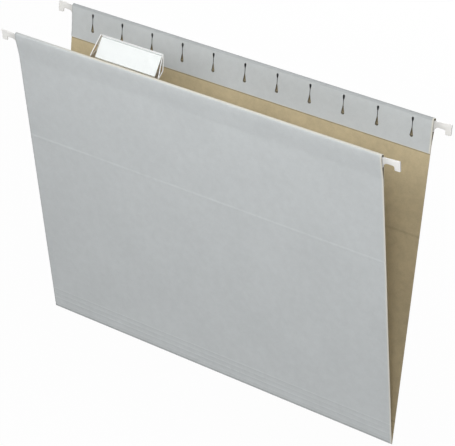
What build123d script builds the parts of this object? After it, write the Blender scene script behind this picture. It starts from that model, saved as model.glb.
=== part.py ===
from build123d import *
import os
from math import atan2, cos, radians, sin, tan

# Hanging file folder, in millimetres: +X to the right, +Y to the rear, +Z up.
# The origin is under the middle of the bottom fold, from which the front and rear panels lean apart.

# Card sheet
sheet_width = 298.45  # left edge to right edge
panel_height = 238.0  # bottom fold to top fold, measured up a panel
stock = 0.35  # thickness of the card
half_opening = 7.42  # lean of each panel from upright, in degrees
fold_gap = 0.05  # bottom fold's centre line to the inner face of each panel
mid_score_drop = 84.0  # top fold to the score that crosses each panel
base_score_pitch = 4.25  # between the scores near the bottom fold
base_score_count = 4
score_bead = 0.2  # radius of the bead that a score raises on the outer face
score_groove = 0.12  # radius of the groove that a score leaves in the inner face
socket_play = 0.03  # play between a bead and the socket that turns about it

# Rod sleeves
flap_depth = 24.5  # top fold to the flap's lower edge
sleeve_depth = 19.5  # top fold to where the sleeve closes
sleeve_ramp = 15.5  # height over which its two walls come together
sleeve_play = 0.55  # between a coated rod and each side of its sleeve
flap_lift = 0.8  # how far the flap stands off the panel beside the rod; the outer wall bulges the rest
glue_thickness = 0.1
glue_margin = 1.5  # bare card around the glue
slot_count = 11
slot_margin = 17.1  # end slots to the sheet's edges, before the shift
slot_shift = -2.0  # slot row from the middle, seen from outside the panel
slot_drop = 3.0  # top fold to a slot's upper end
slot_length = 14.1
slot_head_width = 1.6
slot_head_length = 1.8
slot_neck_width = 0.5
slot_neck_drop = 3.6  # slot's upper end to its neck
slot_neck_length = 3.8
slot_foot_width = 2.6

# Rods and hooks
rod_thickness = 0.6
rod_height = 8.6
rod_seat_gap = 0.2  # inside of the top fold to the rod's upper edge
rod_corner = 0.6  # radius at the lower ends of the rod
step_inset = 8.0  # sheet's edge in to where the rod steps down to its hooks
step_run = 1.5  # length of that step
arm_drop = 2.0  # top fold to the hook's upper edge
arm_height = 3.2  # hook's upper edge to the notch that rests on a rail
hook_reach = 12.7  # sheet's edge to the hook's outer end
tip_width = 3.8
tip_length = 3.1  # notch down to the tip's lower end
tip_corner = 0.5  # radius at the tip's lower end
notch_corner = 1.4  # radius between the notch and the tip
shoulder_radius = 3.9  # radius between the notch and the rod
arm_rise = 0.9  # rise of the hook's upper edge towards its outer end
rise_length = 12.0  # length of that rise
arm_corner = 0.4  # radius at the rise and at the step
coat_thickness = 0.3
coat_inset = 6.0  # sheet's edge in to the coat's inner end

# Tab and label
tab_slots = (2, 4)  # slots that hold the ears, counted from the left end, which is 0
tab_overhang = 3.1  # window's ends past the slots, with the tab centred on them
tab_offset = -1.53  # tab from the middle of its two slots
tab_wall = 0.25
tab_seat_gap = 0.05  # flap to the tab's skirt
tab_bend_drop = 1.68  # top fold to the bend between the skirt and the window
tab_lean = 40.6  # window from the panel, in degrees
tab_leaf = 17.4  # bend to the window's top fold
tab_taper = 3.1  # how much each end of the window draws in at its top fold
tab_fold_width = 1.0  # depth of the window at its top fold
tab_fold_radius = 0.45
tab_belly = 3.9  # depth of the window at its belly
tab_belly_height = 7.2  # bend to the belly
tab_belly_radius = 2.5
ear_drop = 11.0  # top fold to the ears' upper edges
ear_height = 5.0
ear_length = 5.0
ear_corner = 1.2
ear_gap = 0.2  # ears to the back of the flap where it is nearest
ear_web = 0.6  # width of the plastic where it goes through a slot
label_width = 50.8
label_height = 14.3
label_thickness = 0.2
label_gap = 0.05
label_offset = 0.4  # label from the middle of the tab

# Sides of the folder, and the ends of a rod
FRONT = 1
REAR = -1
LEFT = -1
RIGHT = 1

# Sizes that follow from those above. Distances across a panel run from the bottom fold's centre
# line into the pocket, so the panel's own card lies at negative distances.
half_width = sheet_width / 2
inner_face = -fold_gap
outer_face = inner_face - stock
fold_radius = fold_gap + stock
mid_score_height = panel_height - mid_score_drop
base_height = base_score_pitch * base_score_count
base_scores = [base_score_pitch * number for number in range(1, base_score_count)]

sleeve_gap = rod_thickness + 2 * (coat_thickness + sleeve_play)
glued_back = inner_face + glue_thickness
glued_face = glued_back + stock
flap_back = glued_back + flap_lift
flap_face = flap_back + stock
rod_across = flap_back - sleeve_gap / 2
wall_back = flap_back - sleeve_gap
wall_face = wall_back - stock
hem_centre = panel_height - stock - sleeve_gap / 2
ramp_foot = panel_height - sleeve_depth
ramp_top = ramp_foot + sleeve_ramp
flap_end = panel_height - flap_depth
slot_pitch = (sheet_width - 2 * slot_margin) / (slot_count - 1)
slot_places = [slot_shift - half_width + slot_margin + slot_pitch * number for number in range(slot_count)]

rod_top = panel_height - stock - rod_seat_gap
rod_foot = rod_top - rod_height
arm_top = panel_height - arm_drop
notch_top = arm_top - arm_height
tip_foot = notch_top - tip_length

ear_places = [slot_places[number] for number in tab_slots]
ear_middle = sum(ear_places) / 2
ear_spread = ear_places[1] - ear_places[0]
tab_middle = ear_middle + tab_offset
tab_width = ear_spread + 2 * tab_overhang
skirt_across = flap_face + tab_seat_gap + tab_wall / 2
ear_top = panel_height - ear_drop
ear_foot = ear_top - ear_height
ear_centre = ear_top - ear_height / 2
ear_back = glued_back + flap_lift * (ear_foot - ramp_foot) / sleeve_ramp  # back of the flap at the ears' feet
ear_across = ear_back - ear_gap - tab_wall / 2
tab_bend = panel_height - tab_bend_drop
leaf_front = -tab_wall / 2
window_corner = atan2(tab_belly, tab_belly_height)
label_across = -leaf_front + label_gap + label_thickness / 2
label_low = (
    tab_wall / tan(window_corner / 2) + (label_gap + label_thickness) / tan(window_corner) + label_gap
)

os.makedirs("parts", exist_ok=True)


def section(side):
    """Plane across the width: local x runs into the pocket, local y up the panel."""
    lean = radians(half_opening)
    return Plane(origin=(0, 0, fold_radius), x_dir=(0, side * cos(lean), sin(lean)), z_dir=(side, 0, 0))


def panel_face(side, across):
    """Plane along the panel, at a distance into the pocket: local y runs up, local z outwards."""
    lean = radians(half_opening)
    face = Plane(
        origin=(0, 0, fold_radius), x_dir=(side, 0, 0), z_dir=(0, -side * cos(lean), -sin(lean))
    )
    return face.offset(-across)


def save(part, label):
    """Names a finished piece and writes it."""
    part.label = label
    export_step(part, f"parts/{label}.step")


def card_strip(label, side, low, high, beads=(), grooves=(), sockets=(), nose=0.0, hollow=0.0):
    """One stretch of the sheet, with its scores at heights up the panel.

    A nose or a hollow is a radius about the bottom fold.
    """
    with BuildPart() as strip:
        with BuildSketch(section(side)):
            with Locations(((outer_face + inner_face) / 2, (low + high) / 2)):
                Rectangle(stock, high - low)
            for height in beads:
                with Locations((outer_face, height)):
                    Circle(score_bead)
            for height in grooves:
                with Locations((inner_face, height)):
                    Circle(score_groove, mode=Mode.SUBTRACT)
            for height in sockets:
                with Locations((outer_face, height)):
                    Circle(score_bead + socket_play, mode=Mode.SUBTRACT)
            if nose:
                Circle(nose)
            if hollow:
                Circle(hollow, mode=Mode.SUBTRACT)
        extrude(amount=half_width, both=True)
    save(strip.part, label)


# Card up each panel: the scored base, then the stretches below and above the score that crosses it
base_beads = base_scores + [base_height - score_bead]
base_grooves = base_scores + [base_height]
card_strip(
    "rear_base_strip", REAR, 0, base_height, beads=base_beads, grooves=base_grooves, nose=fold_radius
)
card_strip(
    "front_base_strip", FRONT, 0, base_height, beads=base_beads, grooves=base_grooves,
    hollow=fold_radius + socket_play,
)
for name, side in (("rear", REAR), ("front", FRONT)):
    card_strip(
        f"{name}_lower_panel", side, base_height, mid_score_height, beads=[mid_score_height],
        grooves=[base_height],
    )
    card_strip(f"{name}_upper_panel", side, mid_score_height, ramp_foot, sockets=[mid_score_height])

# Outline of a punched slot, hanging from its upper end
with BuildSketch() as slot:
    right_edge = [
        (slot_head_width / 2, -slot_head_width / 2),
        (slot_head_width / 2, -slot_head_length),
        (slot_neck_width / 2, -slot_neck_drop),
        (slot_neck_width / 2, -slot_neck_drop - slot_neck_length),
        (slot_foot_width / 2, slot_foot_width / 2 - slot_length),
    ]
    left_edge = [(-x, y) for x, y in reversed(right_edge)]
    with BuildLine():
        Polyline(*right_edge, *left_edge, close=True)
    make_face()
    with Locations((0, -slot_head_width / 2)):
        Circle(slot_head_width / 2)
    with Locations((0, slot_foot_width / 2 - slot_length)):
        Circle(slot_foot_width / 2)


def sleeve_wall(label, side):
    """Wall of the sleeve that bulges outside the rod."""
    with BuildPart() as wall:
        with BuildSketch(section(side)):
            with BuildLine():
                Polyline(
                    (outer_face, ramp_foot), (wall_face, ramp_top), (wall_face, hem_centre),
                    (wall_back, hem_centre), (wall_back, ramp_top), (inner_face, ramp_foot), close=True,
                )
            make_face()
        extrude(amount=half_width, both=True)
    save(wall.part, label)


def top_fold(label, side):
    """Turn of the sheet over the rod."""
    with BuildPart() as fold:
        with BuildSketch(section(side)):
            with Locations((rod_across, hem_centre)):
                Circle(sleeve_gap / 2 + stock)
                Circle(sleeve_gap / 2, mode=Mode.SUBTRACT)
            with Locations((rod_across, hem_centre - panel_height / 2)):
                Rectangle(panel_height, panel_height, mode=Mode.SUBTRACT)
        extrude(amount=half_width, both=True)
    save(fold.part, label)


def slotted_flap(label, side):
    """Flap that comes down inside the panel, with its slots."""
    with BuildPart() as flap:
        with BuildSketch(section(side)):
            with BuildLine():
                Polyline(
                    (flap_face, hem_centre), (flap_face, ramp_top), (glued_face, ramp_foot),
                    (glued_face, flap_end), (glued_back, flap_end), (glued_back, ramp_foot),
                    (flap_back, ramp_top), (flap_back, hem_centre), close=True,
                )
            make_face()
        extrude(amount=half_width, both=True)
        with BuildSketch(panel_face(side, rod_across)):
            with Locations(*[(place, panel_height - slot_drop) for place in slot_places]):
                add(slot.sketch)
        extrude(amount=-2 * (flap_face - rod_across), mode=Mode.SUBTRACT)
    save(flap.part, label)


def sleeve_glue(label, side):
    """Line of glue between the flap's lower edge and the panel."""
    glue_low = flap_end + glue_margin
    with BuildPart() as glue:
        with BuildSketch(section(side)):
            with Locations(((inner_face + glued_back) / 2, (glue_low + ramp_foot) / 2)):
                Rectangle(glue_thickness, ramp_foot - glue_low)
        extrude(amount=half_width - glue_margin, both=True)
    save(glue.part, label)


# Outline of a rod with its two hooks, seen square to the panel
with BuildSketch() as rod_outline:
    tip_end = half_width + hook_reach
    with BuildLine():
        FilletPolyline(
            (0, rod_top),
            (half_width - step_inset - step_run, rod_top),
            (half_width - step_inset, arm_top),
            (tip_end - rise_length, arm_top),
            (tip_end, arm_top + arm_rise),
            (tip_end, tip_foot),
            (tip_end - tip_width, tip_foot),
            (tip_end - tip_width, notch_top),
            (half_width, notch_top),
            (half_width, rod_foot),
            (0, rod_foot),
            radius=[
                arm_corner, arm_corner, arm_corner, arm_corner, tip_corner, tip_corner, notch_corner,
                shoulder_radius, rod_corner,
            ],
        )
        mirror(about=Plane.YZ)
    make_face()


def rod(label, side):
    """Flat steel strip with a hook at each end."""
    with BuildPart() as strip:
        with BuildSketch(panel_face(side, rod_across)):
            add(rod_outline.sketch)
        extrude(amount=rod_thickness / 2, both=True)
    save(strip.part, label)
    return strip.part


def hook_coat(label, side, end, core):
    """Dip coat over one hook, from inside the sleeve to the tip."""
    local_end = side * end
    with BuildPart() as coat:
        with BuildSketch(panel_face(side, rod_across)):
            add(rod_outline.sketch)
            with Locations((local_end * (half_width + (hook_reach - coat_inset) / 2), notch_top)):
                Rectangle(hook_reach + coat_inset, 4 * rod_height, mode=Mode.INTERSECT)
            offset(amount=coat_thickness)
        extrude(amount=rod_thickness / 2 + coat_thickness, both=True)
        add(core, mode=Mode.SUBTRACT)
    save(coat.part, label)


for name, side in (("rear", REAR), ("front", FRONT)):
    sleeve_wall(f"{name}_sleeve_wall", side)
    top_fold(f"{name}_top_fold", side)
    slotted_flap(f"{name}_flap", side)
    sleeve_glue(f"{name}_sleeve_glue", side)
    steel_rod = rod(f"{name}_rod", side)
    for end_name, end in (("left", LEFT), ("right", RIGHT)):
        hook_coat(f"{name}_{end_name}_hook_coat", side, end, steel_rod)

# Tab's skirt, with ears that pass through two slots and lie behind the flap
with BuildPart() as tab_clip:
    with BuildSketch(section(FRONT).offset(tab_middle)):
        with Locations((skirt_across, (ear_top + tab_bend) / 2)):
            Rectangle(tab_wall, tab_bend - ear_top)
        with Locations((skirt_across, tab_bend)):
            Circle(tab_wall / 2)
    extrude(amount=tab_width / 2, both=True)
    with BuildSketch(panel_face(FRONT, skirt_across)):
        with Locations((ear_middle, ear_centre)):
            Rectangle(ear_spread + ear_web, ear_height)
    extrude(amount=tab_wall / 2, both=True)
    with BuildSketch(panel_face(FRONT, (skirt_across + ear_across) / 2)):
        with Locations(*[(place, ear_centre) for place in ear_places]):
            Rectangle(ear_web, ear_height)
    extrude(amount=(skirt_across - ear_across + tab_wall) / 2, both=True)
    with BuildSketch(panel_face(FRONT, ear_across)):
        for place, end in zip(ear_places, (LEFT, RIGHT)):
            with Locations((place + end * ear_length / 2, ear_centre)):
                RectangleRounded(ear_length + ear_web, ear_height, ear_corner)
    extrude(amount=tab_wall / 2, both=True)
save(tab_clip.part, "tab_clip")

# Plane of the window's profile: local x runs away behind the leaf, local y up the leaf
window_lean = radians(half_opening - tab_lean)
window_plane = Plane(
    origin=section(FRONT).offset(tab_middle).from_local_coords((skirt_across, tab_bend, 0)),
    x_dir=(0, cos(window_lean), sin(window_lean)),
    z_dir=(1, 0, 0),
)

# Tab's window, a clear sleeve with a bellied back and open ends that draw in towards the top
with BuildPart() as tab_window:
    with BuildSketch(window_plane):
        with BuildLine():
            FilletPolyline(
                (leaf_front, 0),
                (leaf_front, tab_leaf),
                (leaf_front + tab_fold_width, tab_leaf),
                (leaf_front + tab_belly, tab_belly_height),
                radius=[0, tab_fold_radius, tab_fold_radius, tab_belly_radius],
                close=True,
            )
        make_face()
        offset(amount=-tab_wall, mode=Mode.SUBTRACT)
        Circle(tab_wall / 2 + socket_play, mode=Mode.SUBTRACT)
    extrude(amount=tab_width / 2, both=True)
    with BuildSketch(Plane(origin=window_plane.origin, x_dir=(1, 0, 0), z_dir=-window_plane.x_dir)):
        with BuildLine():
            Polyline(
                (-tab_width / 2, -tab_wall), (tab_width / 2, -tab_wall), (tab_width / 2, 0),
                (tab_width / 2 - tab_taper, tab_leaf), (tab_width / 2 - tab_taper, tab_leaf + tab_wall),
                (tab_taper - tab_width / 2, tab_leaf + tab_wall), (tab_taper - tab_width / 2, tab_leaf),
                (-tab_width / 2, 0), close=True,
            )
        make_face()
    extrude(amount=2 * tab_belly, both=True, mode=Mode.INTERSECT)
save(tab_window.part, "tab_window")

# Paper label behind the window's leaf
with BuildPart() as tab_label:
    with BuildSketch(window_plane.offset(label_offset)):
        with Locations((label_across, label_low + label_height / 2)):
            Rectangle(label_thickness, label_height)
    extrude(amount=label_width / 2, both=True)
save(tab_label.part, "tab_label")
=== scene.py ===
import math

import bmesh
import bpy
from bpy.props import FloatProperty, FloatVectorProperty, IntProperty, PointerProperty
from bpy.types import Operator, Panel, PropertyGroup, Scene
from mathutils import Color, Matrix, Vector


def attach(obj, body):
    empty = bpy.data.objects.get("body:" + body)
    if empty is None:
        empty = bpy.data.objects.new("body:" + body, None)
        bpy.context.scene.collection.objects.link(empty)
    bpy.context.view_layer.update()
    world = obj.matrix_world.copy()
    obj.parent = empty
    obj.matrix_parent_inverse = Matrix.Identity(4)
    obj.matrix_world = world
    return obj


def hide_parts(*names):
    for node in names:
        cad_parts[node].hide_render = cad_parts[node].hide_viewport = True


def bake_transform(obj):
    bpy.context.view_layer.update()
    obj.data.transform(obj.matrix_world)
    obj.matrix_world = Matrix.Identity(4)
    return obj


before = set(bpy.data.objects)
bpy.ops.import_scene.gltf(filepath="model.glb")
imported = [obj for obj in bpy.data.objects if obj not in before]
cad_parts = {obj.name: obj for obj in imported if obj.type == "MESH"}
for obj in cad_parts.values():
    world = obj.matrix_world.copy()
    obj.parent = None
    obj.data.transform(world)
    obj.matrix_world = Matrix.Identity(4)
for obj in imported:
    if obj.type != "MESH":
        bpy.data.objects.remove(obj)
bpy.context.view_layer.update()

bl_info = {
    "name": "Hanging file folder",
    "version": (1, 0, 0),
    "blender": (4, 5, 0),
    "location": "3D View > Sidebar > Folder",
    "description": "Builds a card hanging folder with its rods, hooks, index tab and label",
    "category": "Object",
}

MM = 0.001
FRONT, REAR = 1, -1
LEFT, RIGHT = -1, 1
SIDES = (("front", FRONT), ("rear", REAR))
ENDS = (("left", LEFT), ("right", RIGHT))
PLAIN_WHITE = (1.0, 1.0, 1.0, 1.0)
SHEET_MAP = "sheet"  # UV map of the unrolled card, in metres

# Material slots of the card, and of the tab's window
# The fourth card slot holds the punched walls, darkened as painted shade
GREY, KRAFT, CUT, PUNCHED_SHADE = range(4)
FILM, FILM_HIGHLIGHT, FILM_BACK = range(3)

# Fineness of the meshes
CARD_CUTS, TAB_CUTS, LABEL_CUTS = 47, 9, 15  # cuts across each sheet
FOLD_PARTS, HEM_PARTS, RAMP_PARTS = 12, 16, 10  # parts of the bottom fold, top fold and sleeve's ramp
BEAD_PARTS = 4  # parts of each half of a score's bead
BACK_PARTS, LABEL_PARTS = 9, 8  # parts of the window's back wall and of the label
SHARP_ANGLE = math.radians(35)  # edges that stay crisp
RIM_ANGLE = math.radians(60)  # edges of a hook's rim

# Bends of the card
PANEL_FOOT = 0.3 * MM  # height at which the panels leave the bottom fold
CREASE_REACH = 2 * MM  # half height of the stretch of card across the middle score
CREASE_TURN = 0.45 * MM  # half height about the middle score of two points that are worked out and not used
FLAP_SLACK = 0.5 * MM  # how far below the flap's edge a point still counts as the flap's

# Section of the tab's window
FOLD_TIP = 0.05 * MM  # how far the top fold's round tips up in front and down behind
BACK_SWELL = 1.1  # power by which the back wall spreads from the top fold to the belly
BELLY_TURN = ((0.05 * MM, 0.0), (0.25 * MM, 0.9 * MM))  # points round the belly, in and down from it
SLOPE_IN, SLOPE_DROP = 0.35 * MM, 1.2 * MM  # belly to the upper end of the slope under it
SLOPE_FOOT = Vector((0.35 * MM, 0.45 * MM))  # its lower end, behind the bend and up the leaf
SLOPE_SHARES = (0.3, 0.5, 0.7, 0.9)  # points along it

# Unevenness of the lower panels
WAVE_FOOT = 20 * MM  # bottom fold to where a panel starts to wave
WAVE_HEAD = 4 * MM  # middle score down to where it stops
BROAD_WAVE, WAVE_SHIFT = 0.10 * MM, 0.15  # rise, and shift as a share of the width
RIPPLE, RIPPLE_TURNS, RIPPLE_LEAN = 0.05 * MM, 2.5, 4.0  # rise, turns across and lean in radians

# Painted highlight and shade on the card and hooks, and the film's gloss
HIGHLIGHT_RISE = 0.4 * MM  # middle score up to the middle of its painted highlight band
SHADE_DROP = 0.62 * MM  # base scores down to the painted shade under them
FLAP_SHADOW_DROP = 0.35 * MM  # flap's edge down to the painted shadow under it
ROOT_SHADE_LENGTH = 9 * MM  # stretch of a hook that greys towards the card with painted shade
FILM_GLOSS = 0.4  # share of a hard gloss that the soft film has

# Lamps by name, size and place, in metres, and where they aim
LAMPS = (
    ("key", 0.4, Vector((-0.04, -0.42, 0.6))),
    ("fill", 0.5, Vector((0.65, -0.85, 1.0))),
    ("low", 0.3, Vector((-0.12, -0.5, -0.15))),
    ("back", 1.4, Vector((-0.5, 1.6, 0.4))),
)
LAMP_AIM = Vector((0, 0, 0.12))
FLOOR_REACH = 6.0  # middle of the floor to its edges
FLOOR_WHITE = 0.97  # share of plain white in the floor that is seen; the rest shows the shadow


# Settings

def length(name, description, millimetres):
    """A length that the sidebar shows with its unit."""
    return FloatProperty(
        name=name, description=description, default=millimetres * MM, unit="LENGTH", precision=5
    )


def angle(name, description, degrees):
    """An angle that the sidebar shows in degrees."""
    return FloatProperty(name=name, description=description, default=math.radians(degrees), subtype="ANGLE")


def power(name, description, watts):
    """The power of a lamp."""
    return FloatProperty(name=name, description=description, default=watts, min=0, unit="POWER")


def tint(name, description, red, green, blue):
    """A colour as the eye sees it, from 0 to 255."""
    seen = (red / 255, green / 255, blue / 255)
    return FloatVectorProperty(
        name=name, description=description, default=seen, subtype="COLOR_GAMMA", min=0, max=1
    )


class CardSettings(PropertyGroup):
    """Sizes and colours of the scored card."""

    width: length("Width", "Left edge to right edge of the sheet", 298.45)
    height: length("Panel height", "Bottom fold to top fold", 238.0)
    stock: length("Card", "Thickness of the card", 0.35)
    fold_gap: length("Fold gap", "Bottom fold's centre line to the inner face", 0.05)
    opening: angle("Lean", "Lean of each panel", 7.42)
    mid_score: length("Middle score", "Bottom fold to the score across each panel", 154.0)
    base_pitch: length("Base scores", "Distance between the scores near the bottom fold", 4.25)
    base_count: IntProperty(
        name="Base score count", description="Scores near the bottom fold", default=4, min=0
    )
    bead: length("Bead", "Rise of a score on the outside", 0.12)
    bead_reach: length("Bead reach", "Half width of a score's bead", 0.95)
    sleeve_gap: length("Sleeve gap", "Room for the rod inside the hem", 2.3)
    flap_depth: length("Flap", "Top fold to the flap's lower edge", 24.5)
    flap_lift: length("Flap lift", "How far the flap stands off the panel beside the rod", 0.8)
    sleeve_depth: length("Sleeve", "Top fold to where the sleeve closes", 19.5)
    sleeve_ramp: length("Ramp", "Height over which the sleeve's walls come together", 15.5)
    glue: length("Glue", "Thickness of the glue under the flap", 0.1)
    outside: tint("Outside", "Dyed outer face", 202, 206, 207)
    inside: tint("Inside", "Undyed inner face", 199, 184, 150)
    edge: tint("Cut edge", "Core of the card at its cut edges", 224, 217, 202)
    # Colour of the painted highlight along the front's top fold and right cut edges, also used for the
    # paler flap edges
    highlight_tint: tint("Worn folds", "Dye broken along the folds", 228, 225, 213)


class SlotSettings(PropertyGroup):
    """Row of punched slots in each flap."""

    count: IntProperty(name="Count", description="Slots in each flap", default=11, min=2)
    margin: length("Margin", "End slots to the sheet's edges, before the shift", 17.1)
    shift: length("Shift", "Row from the middle, seen from outside the panel", -2.0)
    drop: length("Drop", "Top fold to a slot's upper end", 3.0)
    length: length("Length", "Length of a slot", 14.1)
    head: length("Head width", "Width of a slot's head", 1.6)
    head_length: length("Head length", "Length of a slot's head", 1.8)
    neck: length("Neck width", "Width where a slot is narrowest", 0.5)
    neck_drop: length("Neck drop", "Upper end to the neck", 3.6)
    neck_length: length("Neck length", "Length of the neck", 3.8)
    foot: length("Foot width", "Width of a slot's foot", 2.6)


class HangerSettings(PropertyGroup):
    """Hooked rod ends and their coat."""

    rod: length("Rod", "Thickness of the steel strip", 0.6)
    coat: length("Coat", "Thickness of the dip coat", 0.3)
    inset: length("Coat inset", "Sheet's edge in to the coat's inner end", 6.0)
    rod_foot: length("Rod foot", "Top fold to the rod's lower edge", 9.15)
    arm_drop: length("Arm drop", "Top fold to the hook's upper edge", 2.0)
    arm_height: length("Arm height", "Hook's upper edge to the notch", 3.2)
    reach: length("Reach", "Sheet's edge to the hook's outer end", 12.7)
    tip_width: length("Tip width", "Width of the hook's tip", 3.8)
    tip_length: length("Tip length", "Notch down to the tip's end", 3.1)
    rise: length("Rise", "Rise of the hook's upper edge towards its outer end", 0.9)
    rise_length: length("Rise length", "Length of that rise", 12.0)
    rise_corner: length("Rise corner", "Radius where the rise starts, coated", 0.8)
    end_corner: length("End corner", "Radius at the hook's upper outer end, coated", 0.6)
    tip_corner: length("Tip corner", "Radius at the tip's lower end, coated", 0.8)
    notch_corner: length("Notch corner", "Radius between the notch and the tip, coated", 1.1)
    shoulder: length("Shoulder", "Radius between the notch and the rod, coated", 3.6)
    rod_corner: length("Rod corner", "Radius at the rod's lower corner, coated", 0.7)
    edge: length("Soft edge", "Radius along the coat's edges", 0.34)
    steel: tint("Steel", "Bare steel strip", 96, 98, 102)
    white: tint("Coat colour", "Dip coat", 244, 243, 240)


class TabSettings(PropertyGroup):
    """Clear tab and its paper label."""

    middle: length("Middle", "Middle of the tab from the middle of the sheet", -56.38)
    width: length("Width", "Width of the window at its bend", 59.05)
    taper: length("Taper", "How much each end draws in at the top fold", 3.1)
    wall: length("Film", "Thickness of the plastic", 0.25)
    skirt: length("Skirt", "Flap's face to the middle of the skirt", 0.175)
    bend_drop: length("Bend", "Top fold of the card to the bend", 1.68)
    lean: angle("Lean", "Window from the panel", 40.6)
    leaf: length("Leaf", "Bend to the window's top fold", 17.4)
    foot_lift: length("Front foot", "Bend to the front wall's lower edge", 0.15)
    fold_width: length("Fold width", "Depth of the window at its top fold", 1.0)
    belly: length("Belly", "Depth of the window at its belly", 3.9)
    belly_height: length("Belly height", "Bend to the belly", 7.2)
    bow: length("Bow", "Bow of the back wall between the top fold and the belly", 0.22)
    corner: length("Corner", "Radius of the window's lower corners", 2.2)
    # The rim is a band of painted highlight along the window's cut ends
    rim: length("Rim", "White band along the window's cut ends", 0.6)
    label_width: length("Label width", "Width of the paper label", 50.8)
    label_height: length("Label height", "Height of the paper label", 14.3)
    label_stock: length("Label paper", "Thickness of the label", 0.2)
    label_gap: length("Label gap", "Film to the label", 0.05)
    label_offset: length("Label offset", "Label from the middle of the tab", 0.4)
    label_low: length("Label foot", "Bend to the label's lower edge", 1.5)
    label_corner: length("Label corner", "Radius of the label's corners", 0.5)
    clear: tint("Plastic", "Tint of the clear plastic", 253, 254, 254)
    paper: tint("Label colour", "Paper of the label", 245, 245, 244)


class StageSettings(PropertyGroup):
    """Camera, floor and light."""

    azimuth: angle("Azimuth", "Camera round the folder", 35.913)
    elevation: angle("Elevation", "Camera above the horizon", 29.791)
    roll: angle("Roll", "Camera about its axis", 0.492)
    distance: length("Distance", "Camera from its target", 1445.33)
    target_x: length("Target across", "Target from the middle", 9.326)
    target_z: length("Target height", "Target above the bottom fold", 125.636)
    lens: FloatProperty(name="Lens", description="Focal length in millimetres", default=166.774)
    floor_drop: length("Floor", "Bottom fold down to the floor", 262.0)
    floor: tint("Floor colour", "Pale floor", 250, 250, 250)
    sky: FloatProperty(name="Sky", description="Strength of the even light", default=0.14)
    key: power("Key lamp", "Lamp above the front", 1.9)
    fill: power("Fill lamp", "Lamp high at the front's right", 7.1)
    low: power("Low lamp", "Lamp low in front", 0.18)
    back: power("Back lamp", "Large lamp behind", 17.0)


# Materials

def linear(colour):
    """A colour as the eye sees it, turned into one for a shader."""
    return (*Color(colour).from_srgb_to_scene_linear(), 1.0)


def shade(colour, factor):
    """A shader colour made darker or paler."""
    return (*(min(1.0, part * factor) for part in colour[:3]), 1.0)


def joined_by(operation):
    """A method that joins an amount to another value with a Math node."""
    return lambda amount, other: amount.maths(operation, amount, other)


class Amount:
    """A number that varies over a surface. Sums with it add Math nodes."""

    def __init__(self, finish, socket):
        self.finish = finish
        self.socket = socket

    def also(self, output):
        """Another output of the same node."""
        return Amount(self.finish, self.socket.node.outputs[output])

    def maths(self, operation, *terms):
        """The result of a Math node."""
        return self.finish.node("ShaderNodeMath", dict(enumerate(terms)), operation=operation)

    __add__ = __radd__ = joined_by("ADD")
    __mul__ = __rmul__ = joined_by("MULTIPLY")
    __or__ = __ror__ = joined_by("MAXIMUM")
    __sub__ = joined_by("SUBTRACT")

    def __rsub__(self, other):
        return self.maths("SUBTRACT", other, self)

    def __abs__(self):
        return self.maths("ABSOLUTE", self)


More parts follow.
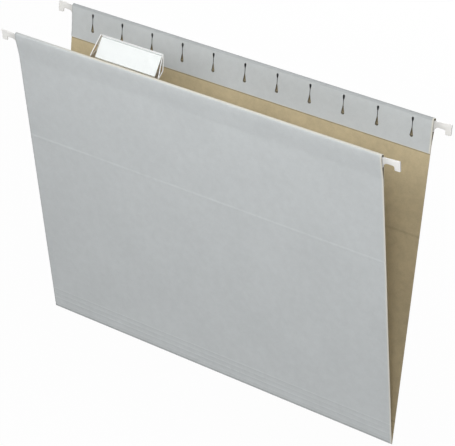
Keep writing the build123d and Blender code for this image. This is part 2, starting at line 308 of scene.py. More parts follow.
class Finish:
    """A material, or the world, and the few ways in which its nodes are made."""

    def __init__(self, name, library=None):
        self.owner = (bpy.data.materials if library is None else library).new(name)
        self.owner.use_nodes = True
        self.tree = self.owner.node_tree
        self.tree.nodes.clear()

    def node(self, kind, sockets=None, output=None, **settings):
        """Adds a node, sets it up, fills its sockets and returns one of its outputs."""
        made = self.tree.nodes.new(kind)
        for name, setting in settings.items():
            setattr(made, name, setting)
        for name, value in (sockets or {}).items():
            if isinstance(name, int):
                socket = made.inputs[name]
            else:
                socket = next(s for s in made.inputs if s.name == name and s.enabled)
            if isinstance(value, Amount):
                self.tree.links.new(value.socket, socket)
            else:
                socket.default_value = value
        if output is not None:
            return Amount(self, made.outputs[output])
        outputs = [socket for socket in made.outputs if socket.enabled]
        return Amount(self, outputs[0]) if outputs else None

    def place(self):
        """Where a point lies in the piece's own space."""
        return self.node("ShaderNodeTexCoord", output="Object")

    def across(self, place):
        """How far across a place lies."""
        return self.node("ShaderNodeSeparateXYZ", {"Vector": place}, "X")

    def noise(self, place, scale, detail=2.0, roughness=0.5):
        """Fractal noise, from 0 to 1."""
        return self.node(
            "ShaderNodeTexNoise",
            {"Vector": place, "Scale": scale, "Detail": detail, "Roughness": roughness}, "Fac",
        )

    def fibres(self, place, scales, turn=0.0, detail=3.0, roughness=0.5):
        """Noise that is turned in the sheet and drawn out, as fibres and streaks are."""
        drawn = self.node("ShaderNodeMapping", {"Vector": place, "Rotation": (0, 0, turn), "Scale": scales})
        return self.noise(drawn, 1.0, detail, roughness)

    def ramp(self, value, low, high, start=0.0, end=1.0):
        """Eases from start to end as a value goes from low to high."""
        return self.node(
            "ShaderNodeMapRange",
            {"Value": value, "From Min": low, "From Max": high, "To Min": start, "To Max": end},
            interpolation_type="SMOOTHSTEP",
        )

    def line(self, distance, half_width, softness):
        """A mask along a line: 1 on it, 0 away from it."""
        return self.ramp(abs(distance), half_width, half_width + softness, 1.0, 0.0)

    def mix(self, factor, first, second):
        """One colour fading into another."""
        return self.node("ShaderNodeMix", {"Factor": factor, "A": first, "B": second}, data_type="RGBA")

    def bump(self, height, distance, strength=1.0):
        """A normal for a surface with this relief."""
        return self.node("ShaderNodeBump", {"Height": height, "Distance": distance, "Strength": strength})

    def seen(self):
        """1 for what is seen, directly or in gloss or through film, and 0 for what only gives light."""
        path = self.node("ShaderNodeLightPath", output="Is Camera Ray")
        return path | path.also("Is Glossy Ray") | path.also("Is Transmission Ray")

    def layered(self, factor, first, second):
        """One shader fading into another."""
        return self.node("ShaderNodeMixShader", {0: factor, 1: first, 2: second})

    def surface(self, colour, roughness, normal, specular=0.5, metallic=0.0):
        """Ends the material in a plain surface."""
        return self.end(self.node("ShaderNodeBsdfPrincipled", {
            "Base Color": colour, "Roughness": roughness, "Normal": normal,
            "Specular IOR Level": specular, "Metallic": metallic,
        }))

    def end(self, shader, output="ShaderNodeOutputMaterial"):
        """Ends the material, or the world, in this shader."""
        self.node(output, {"Surface": shader})
        return self.owner


def sheet_place(finish):
    """Where a point lies on the unrolled card: the vector, across it and along it."""
    place = finish.node("ShaderNodeUVMap", uv_map=SHEET_MAP)
    across = finish.across(place)
    return place, across, across.also("Y")


def card_fibres(finish, place):
    """Cloud, drift, fibres both ways and tooth of uncoated card."""
    cloud = finish.noise(place, scale=170.0, detail=4.0, roughness=0.6)
    drift = finish.noise(place, scale=26.0)
    long_fibres = finish.fibres(place, (420.0, 2600.0, 1.0), turn=0.12, roughness=0.65)
    cross_fibres = finish.fibres(place, (2300.0, 380.0, 1.0), turn=-0.35, roughness=0.65)
    tooth = finish.noise(place, scale=4200.0)
    return cloud, drift, long_fibres, cross_fibres, tooth


def grey_card(card):
    """Dyed outer face with painted shade along the bottom fold and left edges, under the base scores and
    over the rear's top fold, painted highlight at its scores, along the front's top fold and right cut
    edges, and paler along the flaps' edges.
    """
    finish = Finish("grey_card")
    place, across, along = sheet_place(finish)
    cloud, drift, long_fibres, cross_fibres, tooth = card_fibres(finish, place)
    tone = cloud * 0.30 + drift * 0.22 + long_fibres * 0.22 + cross_fibres * 0.22 + tooth * 0.10
    base = linear(card.outside)
    colour = finish.mix(finish.ramp(tone, 0.36, 0.70), shade(base, 0.945), shade(base, 1.055))
    flecks = finish.fibres(place, (900.0, 5200.0, 1.0), turn=0.5, detail=2.0)
    colour = finish.mix(finish.ramp(flecks, 0.69, 0.78) * 0.22, colour, shade(base, 0.72))
    # Painted shade along the bottom fold and left edges, under the base scores and over the rear's top fold
    colour = finish.mix(painted_shade(finish, card, across, along), colour, shade(base, 0.66))
    # Painted highlight along the scores
    colour = finish.mix(painted_score_light(finish, card, place, along), colour, shade(base, 1.25))
    # Painted highlight along the front's top fold and right cut edges; paler along the flaps' edges
    colour = finish.mix(highlights_and_pale_hem(finish, card, across, along, tooth), colour, linear(card.highlight_tint))
    relief = cloud * 0.5 + long_fibres * 0.7 + cross_fibres * 0.7 + tooth * 0.4
    roughness = finish.ramp(tone, 0.3, 0.75, start=0.78, end=0.92)
    normal = finish.bump(relief, distance=0.045 * MM, strength=0.55)
    return finish.surface(colour, roughness, normal, specular=0.28)


def base_marks(finish, card, mask, height, half_width, softness, strengths):
    """A mask with a mark added along each base score, of two strengths in turn."""
    for number, score in enumerate(base_scores(card)):
        mask = mask | finish.line(height - score, half_width, softness) * strengths[number % 2]
    return mask


def painted_score_light(finish, card, place, along):
    """A mask along the scores, uneven in patches: painted highlight on the grey face and painted shade on
    the kraft face.
    """
    height = abs(along)
    middle = finish.line(height - card.mid_score - HIGHLIGHT_RISE, half_width=0.4 * MM, softness=1.3 * MM)
    scores = base_marks(
        finish, card, middle * 0.20, height, half_width=0.2 * MM, softness=0.6 * MM, strengths=(0.16, 0.30)
    )
    patches = finish.fibres(place, (260.0, 60.0, 1.0))
    return scores * finish.ramp(patches, 0.30, 0.62, start=0.45)


def highlights_and_pale_hem(finish, card, across, along, tooth):
    """Paler bands: painted highlight along the front's top fold, fading towards its left end, and along the
    right cut edges; paler along the flaps' lower edges.
    """
    # Painted highlight along the front's top fold, fading towards its left end
    crest_highlight_fade = finish.ramp(across, -0.44 * card.width, -0.27 * card.width, start=0.15, end=0.95)
    folds = finish.line(along - crest_along(card), half_width=0.45 * MM, softness=0.75 * MM) * crest_highlight_fade
    right_edge, flap_edge = card.width / 2, sheet_end(card)
    # Painted highlight along the right cut edges
    edges = finish.ramp(across, right_edge - 1.6 * MM, right_edge - 0.5 * MM, end=0.9)
    hem = finish.ramp(abs(along), flap_edge - 1.0 * MM, flap_edge - 0.2 * MM, end=0.45)
    return (folds | edges | hem) * finish.ramp(tooth, 0.25, 0.6, start=0.75)


def painted_shade(finish, card, across, along):
    """Painted shade: along the bottom fold and left edges, under the base scores and over the rear's top
    fold.
    """
    height, left_edge = abs(along), -card.width / 2
    bottom = finish.ramp(height, 0.5 * MM, 1.9 * MM, start=0.85, end=0.0)
    low = base_marks(
        finish, card, bottom, height + SHADE_DROP, half_width=0.14 * MM, softness=0.34 * MM,
        strengths=(0.08, 0.20),
    )
    left = finish.ramp(across, left_edge + 0.2 * MM, left_edge + 1.4 * MM, start=0.50, end=0.0)
    rear_crest = finish.line(along + crest_along(card), half_width=1.3 * MM, softness=1.4 * MM)
    return low | left | rear_crest * 0.60


def kraft_card(card):
    """Undyed inner face with darker and paler fibres, and painted shade at its scores, inside the hems and
    under the flaps' edges.
    """
    finish = Finish("kraft_card")
    place, _, along = sheet_place(finish)
    cloud, drift, long_fibres, cross_fibres, tooth = card_fibres(finish, place)
    tone = cloud * 0.34 + drift * 0.26 + long_fibres * 0.22 + cross_fibres * 0.18 + tooth * 0.08
    base = linear(card.inside)
    colour = finish.mix(finish.ramp(tone, 0.36, 0.70), shade(base, 0.86), shade(base, 1.12))
    dark = finish.fibres(place, (700.0, 6000.0, 1.0), turn=0.3, detail=2.0)
    pale = finish.fibres(place, (5600.0, 800.0, 1.0), turn=0.9, detail=2.0)
    colour = finish.mix(finish.ramp(dark, 0.66, 0.76) * 0.35, colour, shade(base, 0.55))
    colour = finish.mix(finish.ramp(pale, 0.66, 0.76) * 0.30, colour, shade(base, 1.45))
    # Painted shade along the scores
    colour = finish.mix(painted_score_light(finish, card, place, along) * 1.5, colour, shade(base, 0.55))
    height, closed, flap_edge = abs(along), ramp_foot(card), card.height - card.flap_depth
    # Painted shade inside the sleeve, growing above where it closes
    sleeve_shade = finish.ramp(height, closed + 0.5 * MM, closed + 5 * MM, end=0.80)
    # Painted shadow under the flap's lower edge
    flap_shadow = finish.line(height - flap_edge + FLAP_SHADOW_DROP, half_width=0.30 * MM, softness=0.55 * MM)
    colour = finish.mix(sleeve_shade | flap_shadow * 0.45, colour, shade(base, 0.22))
    relief = cloud * 0.5 + long_fibres + cross_fibres + tooth * 0.5
    roughness = finish.ramp(tone, 0.3, 0.75, start=0.82, end=0.95)
    normal = finish.bump(relief, distance=0.06 * MM, strength=0.6)
    return finish.surface(colour, roughness, normal, specular=0.22)


def cut_card(card, name, tone):
    """Core of the card at its cut edges, or darkened by painted shade in its punched slots."""
    finish = Finish(name)
    layers = finish.fibres(finish.place(), (900.0, 9000.0, 2400.0), roughness=0.6)
    base = shade(linear(card.edge), tone)
    colour = finish.mix(layers, shade(base, 0.84), shade(base, 1.08))
    normal = finish.bump(layers, distance=0.05 * MM, strength=0.6)
    return finish.surface(colour, 0.9, normal, specular=0.2)


def card_finishes(card):
    """The card's materials in the order of its slots."""
    return [
        grey_card(card), kraft_card(card),
        # The punched slots' walls are darkened as painted shade
        cut_card(card, "cut_card", tone=1.0), cut_card(card, "punched_card", tone=0.16),
    ]


def dried_glue():
    """Dried white glue under the flap."""
    finish = Finish("dried_glue")
    smear = finish.fibres(finish.place(), (300.0, 300.0, 1200.0))
    colour = finish.mix(smear, (0.62, 0.58, 0.47, 1.0), (0.80, 0.77, 0.68, 1.0))
    roughness = finish.ramp(smear, 0.3, 0.7, start=0.35, end=0.6)
    return finish.surface(colour, roughness, finish.bump(smear, distance=0.05 * MM))


def rolled_steel(hanger):
    """Rolled strip with faint draw marks and a dull oxide."""
    finish = Finish("rolled_steel")
    place = finish.place()
    draw = finish.fibres(place, (40.0, 4000.0, 4000.0), roughness=0.6)
    oxide = finish.noise(place, scale=90.0, detail=3.0)
    base = linear(hanger.steel)
    colour = finish.mix(draw * 0.6 + oxide * 0.4, shade(base, 0.55), shade(base, 1.2))
    roughness = finish.ramp(draw, 0.3, 0.7, start=0.32, end=0.5)
    normal = finish.bump(draw, distance=0.02 * MM, strength=0.5)
    return finish.surface(colour, roughness, normal, metallic=1.0)


def dip_coat(card, hanger):
    """White dip coat with a slight orange peel and handling marks, with painted shade greying it towards
    the card.
    """
    finish = Finish("dip_coat")
    place = finish.place()
    peel = finish.noise(place, scale=1400.0)
    marks = finish.fibres(place, (300.0, 900.0, 900.0), detail=4.0, roughness=0.65)
    base, sheet_edge = linear(hanger.white), card.width / 2
    colour = finish.mix(finish.ramp(marks, 0.55, 0.8), base, shade(base, 0.86))
    # Painted shade towards the card
    root_shade = finish.ramp(abs(finish.across(place)), sheet_edge, sheet_edge + ROOT_SHADE_LENGTH, start=0.75, end=0.0)
    colour = finish.mix(root_shade, colour, shade(base, 0.70))
    roughness = finish.ramp(marks, 0.3, 0.7, start=0.28, end=0.44)
    return finish.surface(colour, roughness, finish.bump(peel, distance=0.03 * MM, strength=0.5))


def clear_film(tab, name, haze, tone=1.0):
    """Clear plastic: light passes, with painted shade past the label's ends, gloss grows at a slant and
    haze whitens it.
    """
    finish = Finish(name)
    place = finish.place()
    normal = finish.bump(finish.noise(place, scale=120.0, detail=1.0), distance=0.02 * MM, strength=0.15)
    slant = finish.node("ShaderNodeFresnel", {"IOR": 1.5, "Normal": normal}) * FILM_GLOSS
    scuffs = finish.fibres(place, (1500.0, 300.0, 300.0), turn=0.4)
    milky = finish.ramp(scuffs, 0.45, 0.8, start=haze, end=min(1.0, haze * 1.8))
    # Painted shade in the film past the label's ends
    from_label = abs(finish.across(place) - (tab.middle + tab.label_offset))
    label_end = tab.label_width / 2
    shade_past_label = finish.ramp(from_label, label_end - 0.1 * MM, label_end + 0.4 * MM)
    bright = finish.node("ShaderNodeBsdfTransparent", {"Color": shade(linear(tab.clear), tone)})
    shaded_through = finish.node("ShaderNodeBsdfTransparent", {"Color": (0.80, 0.77, 0.72, 1.0)})
    body = finish.node("ShaderNodeBsdfDiffuse", {"Color": (0.97, 0.97, 0.97, 1.0)})
    gloss = finish.node("ShaderNodeBsdfGlossy", {"Roughness": 0.06, "Normal": normal})
    inner = finish.layered(milky, finish.layered(shade_past_label, bright, shaded_through), body)
    return finish.end(finish.layered(slant, inner, gloss))


def label_paper(tab):
    """Smooth white paper with a faint formation."""
    finish = Finish("label_paper")
    place = finish.place()
    cloud = finish.noise(place, scale=220.0, detail=4.0, roughness=0.6)
    fibres = finish.fibres(place, (500.0, 3000.0, 3000.0), turn=0.3, roughness=0.6)
    tone = cloud * 0.6 + fibres * 0.4
    base = linear(tab.paper)
    colour = finish.mix(finish.ramp(tone, 0.3, 0.7), shade(base, 0.965), shade(base, 1.02))
    roughness = finish.ramp(tone, 0.3, 0.7, start=0.8, end=0.9)
    normal = finish.bump(fibres, distance=0.03 * MM, strength=0.4)
    return finish.surface(colour, roughness, normal, specular=0.25)


# Places

def fold_radius(card):
    """Outside radius of the bottom fold, which is also the height of its centre line."""
    return card.fold_gap + card.stock


def spot(card, side, x, into, up):
    """A point by its distance into the pocket and up a panel, from the bottom fold's centre line."""
    c, s = math.cos(card.opening), math.sin(card.opening)
    return Vector((x, side * (into * c - up * s), fold_radius(card) + into * s + up * c))


def inward(card, side, distance):
    """A step into the pocket, square to a panel."""
    return spot(card, side, 0, distance, 0) - spot(card, side, 0, 0, 0)


def panel_of(card, side, point):
    """The distances into the pocket and up a panel of a point."""
    c, s = math.cos(card.opening), math.sin(card.opening)
    y, z = side * point.y, point.z - fold_radius(card)
    return y * c + z * s, z * c - y * s


def outer_face(card):
    """Outer face of a panel."""
    return -fold_radius(card)


def glued_face(card):
    """Face of the flap where it is glued down."""
    return card.glue + card.stock - card.fold_gap


def flap_face(card):
    """Face of the flap beside the rod."""
    return glued_face(card) + card.flap_lift


def rod_across(card):
    """Middle of the rod and of the top fold."""
    return flap_face(card) - card.stock - card.sleeve_gap / 2


def hem_radius(card):
    """Middle of the card round the top fold."""
    return (card.sleeve_gap + card.stock) / 2


def hem_height(card):
    """Height of the centre of the top fold."""
    return card.height - card.stock - card.sleeve_gap / 2


def crest_along(card):
    """Bottom fold to the crest of the top fold, along the card."""
    return hem_height(card) + math.pi / 2 * hem_radius(card)


def sheet_end(card):
    """Bottom fold to the flap's lower edge, along the card."""
    return 2 * crest_along(card) - card.height + card.flap_depth


def ramp_foot(card):
    """Height at which the sleeve closes."""
    return card.height - card.sleeve_depth


def base_scores(card):
    """Heights of the scores near the bottom fold."""
    return [card.base_pitch * number for number in range(1, card.base_count + 1)]


def score_heights(card):
    """Heights of all the scores of a panel."""
    return base_scores(card) + [card.mid_score]


def slot_places(card, slots):
    """Places of the slots along the flap, seen from outside the panel."""
    pitch = (card.width - 2 * slots.margin) / (slots.count - 1)
    first = slots.shift + slots.margin - card.width / 2
    return [first + pitch * number for number in range(slots.count)]


def eased(share, soft=0.12):
    """From 0 to 1 along a straight ramp with soft ends."""
    share = min(max(share, 0.0), 1.0)
    if share < soft:
        return share ** 2 / (2 * soft * (1 - soft))
    if share > 1 - soft:
        return 1 - (1 - share) ** 2 / (2 * soft * (1 - soft))
    return (share - soft / 2) / (1 - soft)


def half_turn(parts=8):
    """Angles that divide a half turn, without its ends."""
    return [math.pi * part / parts for part in range(1, parts)]


# Modelling

def placed(name, data):
    """A new object in the scene."""
    made = bpy.data.objects.new(name, data)
    bpy.context.scene.collection.objects.link(made)
    return made


def finished(name, bm, materials, smooth=True):
    """Turns a bmesh into an object of the scene."""
    mesh = bpy.data.meshes.new(name)
    bm.to_mesh(mesh)
    bm.free()
    for material in materials:
        mesh.materials.append(material)
    if smooth:
        mesh.shade_smooth()
        mesh.set_sharp_from_angle(angle=SHARP_ANGLE)
    return placed(name, mesh)


def pushed(bm, extruded, way):
    """Moves what an extrusion has drawn."""
    verts = [part for part in extruded["geom"] if isinstance(part, bmesh.types.BMVert)]
    bmesh.ops.translate(bm, verts=verts, vec=way)


def rounded(bm, corners, radius, segments):
    """Rounds corners of a flat face or sheet."""
    bmesh.ops.bevel(
        bm, geom=corners, affect="VERTICES", offset=radius, segments=segments, profile=0.5, material=-1
    )


def drawn_sheet(points, width, cuts):
    """A sheet drawn across the width from a line of points on its outer face."""
    bm = bmesh.new()
    verts = [bm.verts.new(point - Vector((width / 2, 0, 0))) for point in points]
    edges = [bm.edges.new(pair) for pair in zip(verts, verts[1:])]
    pushed(bm, bmesh.ops.extrude_edge_only(bm, edges=edges), (width, 0, 0))
    across = [edge for edge in bm.edges if abs(edge.verts[0].co.x - edge.verts[1].co.x) > width / 2]
    bmesh.ops.subdivide_edges(bm, edges=across, cuts=cuts)
    return bm


def sheet_corners(bm):
    """The four corners of a sheet."""
    return [vert for vert in bm.verts if len(vert.link_edges) == 2]


def thickened(bm, stock, into):
    """Gives a sheet its thickness, towards the way given for its lowest face, and marks its faces."""
    bmesh.ops.recalc_face_normals(bm, faces=bm.faces[:])
    bm.normal_update()
    lowest = min(bm.faces, key=lambda face: face.calc_center_median().z)
    if lowest.normal.dot(into(lowest.calc_center_median())) > 0:
        bmesh.ops.reverse_faces(bm, faces=bm.faces[:])
    outer = set(bm.verts)
    bm.normal_update()
    bmesh.ops.solidify(bm, geom=bm.faces[:], thickness=stock)
    for face in bm.faces:
        on_outer = sum(vert in outer for vert in face.verts)
        face.material_index = GREY if on_outer == len(face.verts) else KRAFT if on_outer == 0 else CUT
    return bm


def into_pocket(point):
    """Roughly the way into the pocket from a point of the card."""
    return Vector((0, -point.y, 0.2))


def card_piece(card, name, points, finishes):
    """A stretch of card over the width of the sheet, from points along its outer face."""
    bm = thickened(drawn_sheet(points, card.width, CARD_CUTS), card.stock, into_pocket)
    return finished(name, bm, finishes)


def score_bump(card, up):
    """How far a score lifts the card at a height up the panel."""
    near = min(abs(up - score) for score in score_heights(card)) / card.bead_reach
    return card.bead * math.cos(min(near, 1.0) * math.pi / 2) ** 2


def panel_heights(card, low, high, step):
    """Heights up a panel at which the card has points: evenly spaced, and close together at the scores."""
    count = max(1, round((high - low) / step))
    heights = {round(low + (high - low) * number / count, 7) for number in range(count + 1)}
    closest = card.bead_reach / 6
    for score in score_heights(card):
        for part in range(-BEAD_PARTS, BEAD_PARTS + 1):
            height = score + part / BEAD_PARTS * card.bead_reach
            if low < height < high:
                heights = {h for h in heights if h in (low, high) or abs(h - height) > closest}
                heights.add(round(height, 7))
    return sorted(heights)


def panel_line(card, side, low, high, step=8 * MM):
    """Points up the outer face of a panel, with its scores."""
    return [
        spot(card, side, 0, outer_face(card) - score_bump(card, up), up)
        for up in panel_heights(card, low, high, step)
    ]


def along_sheet(card, into, up):
    """Distance along the card from the bottom fold, for a point of a panel, hem or flap."""
    hem = hem_height(card)
    if up > hem:
        return hem + hem_radius(card) * (math.pi - math.atan2(up - hem, into - rod_across(card)))
    between = rod_across(card) * eased((up - ramp_foot(card)) / card.sleeve_ramp)
    if up > card.height - card.flap_depth - FLAP_SLACK and into > between:
        return 2 * crest_along(card) - up
    return up


def side_of(point):
    """The panel to which a point of the card belongs."""
    return FRONT if point.y < 0 else REAR


def unroll(card, obj):
    """Lays the card's UV map flat, in metres, front and rear running on from the bottom fold."""
    mesh = obj.data
    layer = mesh.uv_layers.new(name=SHEET_MAP)
    for loop in mesh.loops:
        point = mesh.vertices[loop.vertex_index].co
        side = side_of(point)
        into, up = panel_of(card, side, point)
        layer.data[loop.index].uv = (point.x, side * along_sheet(card, into, max(up, 0.0)))


def rest_wave(card, obj):
    """Lets the lower panels wave a little, as card does between its stiff folds."""
    for vert in obj.data.vertices:
        side = side_of(vert.co)
        _, up = panel_of(card, side, vert.co)
        span = (up - WAVE_FOOT) / (card.mid_score - WAVE_HEAD - WAVE_FOOT)
        if 0 < span < 1:
            phase = vert.co.x / card.width
            wave = BROAD_WAVE * math.cos(2 * math.pi * (phase + WAVE_SHIFT * side))
            wave += RIPPLE * math.sin(2 * math.pi * RIPPLE_TURNS * phase + RIPPLE_LEAN * span)
            vert.co += inward(card, side, wave * math.sin(math.pi * span) ** 2)


def slot_outline(slots):
    """Outline of a slot round its middle line, down from its upper end: a head, a neck and a wider foot."""
    head, neck, foot = slots.head / 2, slots.neck / 2, slots.foot / 2
    neck_end = -slots.neck_drop - slots.neck_length
    foot_centre = foot - slots.length
    right = [
        (head, -head), (head, -slots.head_length), (neck, -slots.neck_drop), (neck, neck_end),
        (foot, foot_centre),
    ]
    round_foot = [(foot * math.cos(a), foot_centre - foot * math.sin(a)) for a in half_turn()]
    round_head = [(-head * math.cos(a), -head + head * math.sin(a)) for a in half_turn()]
    return right + round_foot + [(-x, y) for x, y in reversed(right)] + round_head


def slot_cutter(card, slots, side):
    """Prisms that punch the slots through a flap."""
    bm = bmesh.new()
    depth = 2 * (flap_face(card) - rod_across(card))
    top = card.height - slots.drop
    for place in slot_places(card, slots):
        face = bm.faces.new([
            bm.verts.new(spot(card, side, side * (place + x), rod_across(card), top + y))
            for x, y in slot_outline(slots)
        ])
        pushed(bm, bmesh.ops.extrude_face_region(bm, geom=[face]), inward(card, side, depth))
    bmesh.ops.recalc_face_normals(bm, faces=bm.faces[:])
    for face in bm.faces:
        face.material_index = PUNCHED_SHADE
    return finished("slot_cutter", bm, [], smooth=False)


def punch(obj, cutter):
    """Cuts the prisms out of a piece and removes them."""
    cut = obj.modifiers.new("punch", "BOOLEAN")
    cut.object = cutter
    cut.operation = "DIFFERENCE"
    cut.solver = "EXACT"
    ready = obj.evaluated_get(bpy.context.evaluated_depsgraph_get())
    whole, obj.data = obj.data, bpy.data.meshes.new_from_object(ready)
    obj.modifiers.clear()
    bpy.data.meshes.remove(whole)
    bpy.data.objects.remove(cutter)


def hem_line(card, side):
    """Points of the outer face from the middle score over the top fold to the flap's edge."""
    outer, glued, foot = outer_face(card), glued_face(card), ramp_foot(card)
    middle, hem, radius = rod_across(card), hem_height(card), card.sleeve_gap / 2 + card.stock
    bulge = middle - radius - outer
    shares = [part / RAMP_PARTS for part in range(RAMP_PARTS + 1)]
    ramp = [(share, foot + card.sleeve_ramp * share) for share in shares]
    turns = [math.pi - math.pi * part / HEM_PARTS for part in range(HEM_PARTS + 1)]
    section = [(outer + bulge * eased(share), up) for share, up in ramp[1:]]
    section += [(middle + radius * math.cos(a), hem + radius * math.sin(a)) for a in turns]
    section += [(glued + card.flap_lift * eased(share), up) for share, up in reversed(ramp)]
    section.append((glued, card.height - card.flap_depth))
    rise = panel_line(card, side, card.mid_score + CREASE_REACH, foot)
    return rise + [spot(card, side, 0, into, up) for into, up in section]


class FolderOperator:
    """What the operators of this file share."""

    bl_options = {"REGISTER", "UNDO"}


class FOLDER_OT_card(FolderOperator, Operator):
    """Builds the sheet of card, in the stretches that its folds part"""

    bl_idname = "folder.card"
    bl_label = "Scored card"

    def execute(self, context):
        card, slots = context.scene.folder_card, context.scene.folder_slots
        finishes = card_finishes(card)
        self.lower_card(card, finishes)
        for name, side in SIDES:
            self.mid_crease(card, name, side, finishes)
        for name, side in SIDES:
            self.upper_card(card, slots, name, side, finishes)
        return {"FINISHED"}

    def lower_card(self, card, finishes):
        """The card below the middle scores, round the bottom fold."""
        top = card.mid_score - CREASE_REACH
        radius = fold_radius(card)
        rear = panel_line(card, REAR, PANEL_FOOT, top)
        front = panel_line(card, FRONT, PANEL_FOOT, top)
        turn = math.pi - 2 * card.opening
        round_fold = [
            Vector((0, radius * math.cos(a), radius * (1 + math.sin(a))))
            for a in (-card.opening - turn * part / FOLD_PARTS for part in range(FOLD_PARTS + 1))
        ]
        made = card_piece(card, "lower_card", rear[::-1] + round_fold + front, finishes)
        unroll(card, made)
        rest_wave(card, made)
        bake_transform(made)
        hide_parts("rear_base_strip", "rear_lower_panel", "front_base_strip", "front_lower_panel")

    def mid_crease(self, card, name, side, finishes):
        """The strip of card across a panel's middle score."""
        low, high = card.mid_score - CREASE_REACH, card.mid_score + CREASE_REACH
        line = panel_line(card, side, low, high, CREASE_REACH / 3)
        made = card_piece(card, f"{name}_mid_crease", line, finishes)
        unroll(card, made)
        spot(card, side, 0, outer_face(card), card.mid_score - CREASE_TURN)
        spot(card, side, 0, outer_face(card), card.mid_score + CREASE_TURN)
        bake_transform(made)

    def upper_card(self, card, slots, name, side, finishes):
        """The card above a panel's middle score, with its hem and punched flap."""
        made = card_piece(card, f"{name}_upper_card", hem_line(card, side), finishes)
        punch(made, slot_cutter(card, slots, side))
        unroll(card, made)
        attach(made, f"{name}_upper")
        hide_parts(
            f"{name}_upper_panel", f"{name}_sleeve_wall", f"{name}_top_fold", f"{name}_flap"
        )


class FOLDER_OT_hem_glue(FolderOperator, Operator):
    """Gives the glue lines under the flaps their finish"""

    bl_idname = "folder.hem_glue"
    bl_label = "Hem glue"

    def execute(self, context):
        glue = dried_glue()
        for name, _ in SIDES:
            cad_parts[f"{name}_sleeve_glue"].data.materials[0] = glue
        return {"FINISHED"}


def hook_outline(card, hanger):
    """Corners of a coated hook, from the sheet's edge outwards and up the panel, with their radii."""
    coat = hanger.coat
    arm = card.height - hanger.arm_drop + coat
    notch = card.height - hanger.arm_drop - hanger.arm_height - coat
    tip = notch - hanger.tip_length
    end = hanger.reach + coat
    inner = hanger.reach - hanger.tip_width - coat
    foot = card.height - hanger.rod_foot - coat
    return [
        (-hanger.inset, arm, 0.0), (end - hanger.rise_length, arm, hanger.rise_corner),
        (end, arm + hanger.rise, hanger.end_corner), (end, tip, hanger.tip_corner),
        (inner, tip, hanger.tip_corner), (inner, notch, hanger.notch_corner),
        (coat, notch, hanger.shoulder), (coat, foot, hanger.rod_corner), (-hanger.inset, foot, 0.0),
    ]


class FOLDER_OT_hangers(FolderOperator, Operator):
    """Finishes the steel rods and builds the coat over their hooks"""

    bl_idname = "folder.hangers"
    bl_label = "Rods and hooks"

    def execute(self, context):
        card, hanger = context.scene.folder_card, context.scene.folder_hanger
        steel, coat = rolled_steel(hanger), dip_coat(card, hanger)
        for name, side in SIDES:
            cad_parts[f"{name}_rod"].data.materials[0] = steel
            for end_name, end in ENDS:
                made = finished(f"{name}_{end_name}_hook", self.hook(card, hanger, side, end), [coat])
                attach(made, f"{name}_hanger")
                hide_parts(f"{name}_{end_name}_hook_coat")
        return {"FINISHED"}

    def hook(self, card, hanger, side, end):
        """A flat hook with filleted corners and softened edges."""
        half = hanger.rod / 2 + hanger.coat
        corners = hook_outline(card, hanger)
        bm = bmesh.new()
        verts = [
            bm.verts.new(spot(card, side, end * (card.width / 2 + out), rod_across(card) - half, up))
            for out, up, _ in corners
        ]
        bm.faces.new(verts)
        for vert, (*_, radius) in zip(verts, corners):
            if radius:
                rounded(bm, [vert], radius, segments=8)
        pushed(bm, bmesh.ops.extrude_face_region(bm, geom=bm.faces[:]), inward(card, side, 2 * half))
        bmesh.ops.recalc_face_normals(bm, faces=bm.faces[:])
        rim = [edge for edge in bm.edges if edge.is_manifold and edge.calc_face_angle() > RIM_ANGLE]
        bmesh.ops.bevel(
            bm, geom=rim, affect="EDGES", offset=hanger.edge, segments=4, profile=0.5, material=-1
        )
        return bm


def leaf_frame(card, tab):
    """The bend, and the ways up the tab's leaf and behind it."""
    bend = spot(card, FRONT, tab.middle, flap_face(card) + tab.skirt, card.height - tab.bend_drop)
    lean = card.opening - tab.lean
    up = Vector((0, -math.sin(lean), math.cos(lean)))
    behind = Vector((0, math.cos(lean), math.sin(lean)))
    return bend, up, behind


def window_profile(tab):
    """Section of the window, behind its bend and up its leaf: front, top fold, back, belly and foot."""
    front = -tab.wall / 2
    radius = tab.fold_width / 2
    centre = tab.leaf - radius
    back, deep, low = front + tab.fold_width, front + tab.belly, tab.belly_height
    profile = [(front, tab.foot_lift), (front, centre + FOLD_TIP)]
    profile += [(front + radius - radius * math.cos(a), centre + radius * math.sin(a)) for a in half_turn()]
    profile.append((back, centre - FOLD_TIP))
    for share in (part / BACK_PARTS for part in range(1, BACK_PARTS)):
        bow = tab.bow * math.sin(math.pi * share)
        depth = back + (deep - back) * share ** BACK_SWELL + bow
        profile.append((depth, tab.leaf + (low - tab.leaf) * share))
    profile += [(deep - step, low - drop) for step, drop in BELLY_TURN]
    slope = Vector((deep - SLOPE_IN, low - SLOPE_DROP))
    return profile + [slope.lerp(SLOPE_FOOT, share) for share in SLOPE_SHARES]


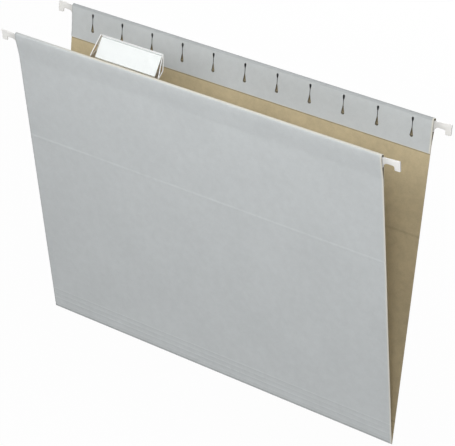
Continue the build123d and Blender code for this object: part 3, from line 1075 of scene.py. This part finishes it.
class FOLDER_OT_tab(FolderOperator, Operator):
    """Builds the clear tab: a folded sleeve over its clip"""

    bl_idname = "folder.tab"
    bl_label = "Clear tab"

    def execute(self, context):
        card, tab = context.scene.folder_card, context.scene.folder_tab
        film = clear_film(tab, "clear_film", haze=0.015)
        # Film whitened as a painted highlight along the top fold and cut ends
        edge = clear_film(tab, "film_edge", haze=0.98)
        back = clear_film(tab, "film_back", haze=0.012, tone=0.90)
        made = finished("tab_window_film", self.window(card, tab), [film, edge, back])
        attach(made, "tab")
        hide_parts("tab_window")
        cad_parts["tab_clip"].data.materials[0] = film
        return {"FINISHED"}

    def window(self, card, tab):
        """A folded sleeve that draws in towards its top fold, with a painted highlight of milky film along
        that fold and its cut ends.
        """
        bend, up, behind = leaf_frame(card, tab)
        half, inner = tab.width / 2, tab.width / 2 - tab.rim
        points = [bend + behind * depth + up * height for depth, height in window_profile(tab)]
        bm = drawn_sheet(points, tab.width, TAB_CUTS)
        foremost = sorted(sheet_corners(bm), key=lambda vert: (vert.co - bend).dot(behind))
        rounded(bm, foremost[:2], tab.corner, segments=6)
        for end in (LEFT, RIGHT):
            bmesh.ops.bisect_plane(
                bm, geom=bm.verts[:] + bm.edges[:] + bm.faces[:],
                plane_co=bend + Vector((end * inner, 0, 0)), plane_no=(1, 0, 0),
            )
        for vert in bm.verts:
            place = vert.co - bend
            vert.co.x -= tab.taper * place.dot(up) / tab.leaf * place.x / half
        heart = bend + (behind * tab.belly + up * tab.leaf) / 2
        bm = thickened(bm, tab.wall, lambda point: heart - point)
        for face in bm.faces:
            place = face.calc_center_median() - bend
            drawn_in = 1 - tab.taper * place.dot(up) / tab.leaf / half
            # Faces along the top fold and cut ends take the painted highlight
            white = place.dot(up) > tab.leaf - tab.fold_width or abs(place.x) > inner * drawn_in
            plain = FILM_BACK if place.dot(behind) > tab.wall else FILM
            face.material_index = FILM_HIGHLIGHT if white or face.material_index == CUT else plain
        return bm


class FOLDER_OT_label(FolderOperator, Operator):
    """Builds the paper label inside the tab"""

    bl_idname = "folder.label"
    bl_label = "Paper label"

    def execute(self, context):
        card, tab = context.scene.folder_card, context.scene.folder_tab
        bend, up, behind = leaf_frame(card, tab)
        start = bend + behind * (tab.wall / 2 + tab.label_gap) + Vector((tab.label_offset, 0, 0))
        points = [
            start + up * (tab.label_low + tab.label_height * part / LABEL_PARTS)
            for part in range(LABEL_PARTS + 1)
        ]
        bm = drawn_sheet(points, tab.label_width, LABEL_CUTS)
        rounded(bm, sheet_corners(bm), tab.label_corner, segments=3)
        bm = thickened(bm, tab.label_stock, lambda point: behind)
        for face in bm.faces:
            face.material_index = 0
        made = finished("tab_label_paper", bm, [label_paper(tab)])
        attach(made, "label")
        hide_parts("tab_label")
        return {"FINISHED"}


class FOLDER_OT_stage(FolderOperator, Operator):
    """Sets the floor, the light and the camera"""

    bl_idname = "folder.stage"
    bl_label = "Stage"

    def execute(self, context):
        stage = context.scene.folder_stage
        context.scene.view_settings.view_transform = "Standard"
        self.floor(stage)
        self.sky(context, stage)
        for name, size, place in LAMPS:
            self.lamp(f"{name}_lamp", getattr(stage, name), size, place)
        self.camera(context, stage)
        return {"FINISHED"}

    def floor(self, stage):
        """A pale floor that is seen as white, with a faint shadow."""
        finish = Finish("pale_floor")
        matt = finish.node("ShaderNodeBsdfDiffuse", {"Color": linear(stage.floor)})
        white = finish.node("ShaderNodeEmission", {"Color": PLAIN_WHITE, "Strength": 1.0})
        pale = finish.end(finish.layered(finish.seen() * FLOOR_WHITE, matt, white))
        bm = bmesh.new()
        bmesh.ops.create_grid(bm, x_segments=2, y_segments=2, size=FLOOR_REACH)
        bmesh.ops.translate(bm, verts=bm.verts[:], vec=(0, 0, -stage.floor_drop))
        finished("floor", bm, [pale])

    def sky(self, context, stage):
        """An even light from all round, seen as white."""
        finish = Finish("even_sky", bpy.data.worlds)
        strength = finish.ramp(finish.seen(), 0.0, 1.0, start=stage.sky)
        light = finish.node("ShaderNodeBackground", {"Color": PLAIN_WHITE, "Strength": strength})
        context.scene.world = finish.end(light, "ShaderNodeOutputWorld")

    def lamp(self, name, watts, size, place):
        """A soft square lamp that the camera doesn't see."""
        data = bpy.data.lights.new(name, "AREA")
        data.energy = watts
        data.size = size
        made = placed(name, data)
        made.visible_camera = False
        aim = (LAMP_AIM - place).to_track_quat("-Z", "Y")
        made.matrix_world = Matrix.Translation(place) @ aim.to_matrix().to_4x4()

    def camera(self, context, stage):
        """The camera, aimed by its angles round the target."""
        data = bpy.data.cameras.new("camera")
        data.lens = stage.lens
        data.sensor_width = 36.0
        data.clip_start, data.clip_end = 0.05, 20.0
        a, e = stage.azimuth, stage.elevation
        back = Vector((math.sin(a) * math.cos(e), -math.cos(a) * math.cos(e), math.sin(e)))
        level = (-back).cross(Vector((0, 0, 1))).normalized()
        upright = level.cross(-back)
        right = math.cos(stage.roll) * level + math.sin(stage.roll) * upright
        above = math.cos(stage.roll) * upright - math.sin(stage.roll) * level
        place = Vector((stage.target_x, 0, stage.target_z)) + back * stage.distance
        made = placed("camera", data)
        made.matrix_world = Matrix.Translation(place) @ Matrix((right, above, back)).transposed().to_4x4()
        context.scene.camera = made


class FOLDER_PT_sidebar(Panel):
    """Lists the folder's pieces in the order in which they are built"""

    bl_idname = "FOLDER_PT_sidebar"
    bl_label = "Hanging file folder"
    bl_space_type = "VIEW_3D"
    bl_region_type = "UI"
    bl_category = "Folder"

    def draw(self, context):
        for operator in OPERATORS:
            self.layout.operator(operator.bl_idname)
        for name, kind in SETTINGS:
            box = self.layout.box()
            box.label(text=kind.__doc__)
            group = getattr(context.scene, name)
            for prop in kind.__annotations__:
                box.prop(group, prop)


OPERATORS = (
    FOLDER_OT_card, FOLDER_OT_hem_glue, FOLDER_OT_hangers, FOLDER_OT_tab, FOLDER_OT_label, FOLDER_OT_stage,
)
SETTINGS = (
    ("folder_card", CardSettings), ("folder_slots", SlotSettings), ("folder_hanger", HangerSettings),
    ("folder_tab", TabSettings), ("folder_stage", StageSettings),
)


def register():
    for name, kind in SETTINGS:
        bpy.utils.register_class(kind)
        setattr(Scene, name, PointerProperty(type=kind))
    for kind in (*OPERATORS, FOLDER_PT_sidebar):
        bpy.utils.register_class(kind)


def unregister():
    for kind in (FOLDER_PT_sidebar, *reversed(OPERATORS)):
        bpy.utils.unregister_class(kind)
    for name, kind in reversed(SETTINGS):
        delattr(Scene, name)
        bpy.utils.unregister_class(kind)


def main():
    register()
    bpy.ops.folder.card()
    bpy.ops.folder.hem_glue()
    bpy.ops.folder.hangers()
    bpy.ops.folder.tab()
    bpy.ops.folder.label()
    bpy.ops.folder.stage()


if __name__ == "__main__":
    main()
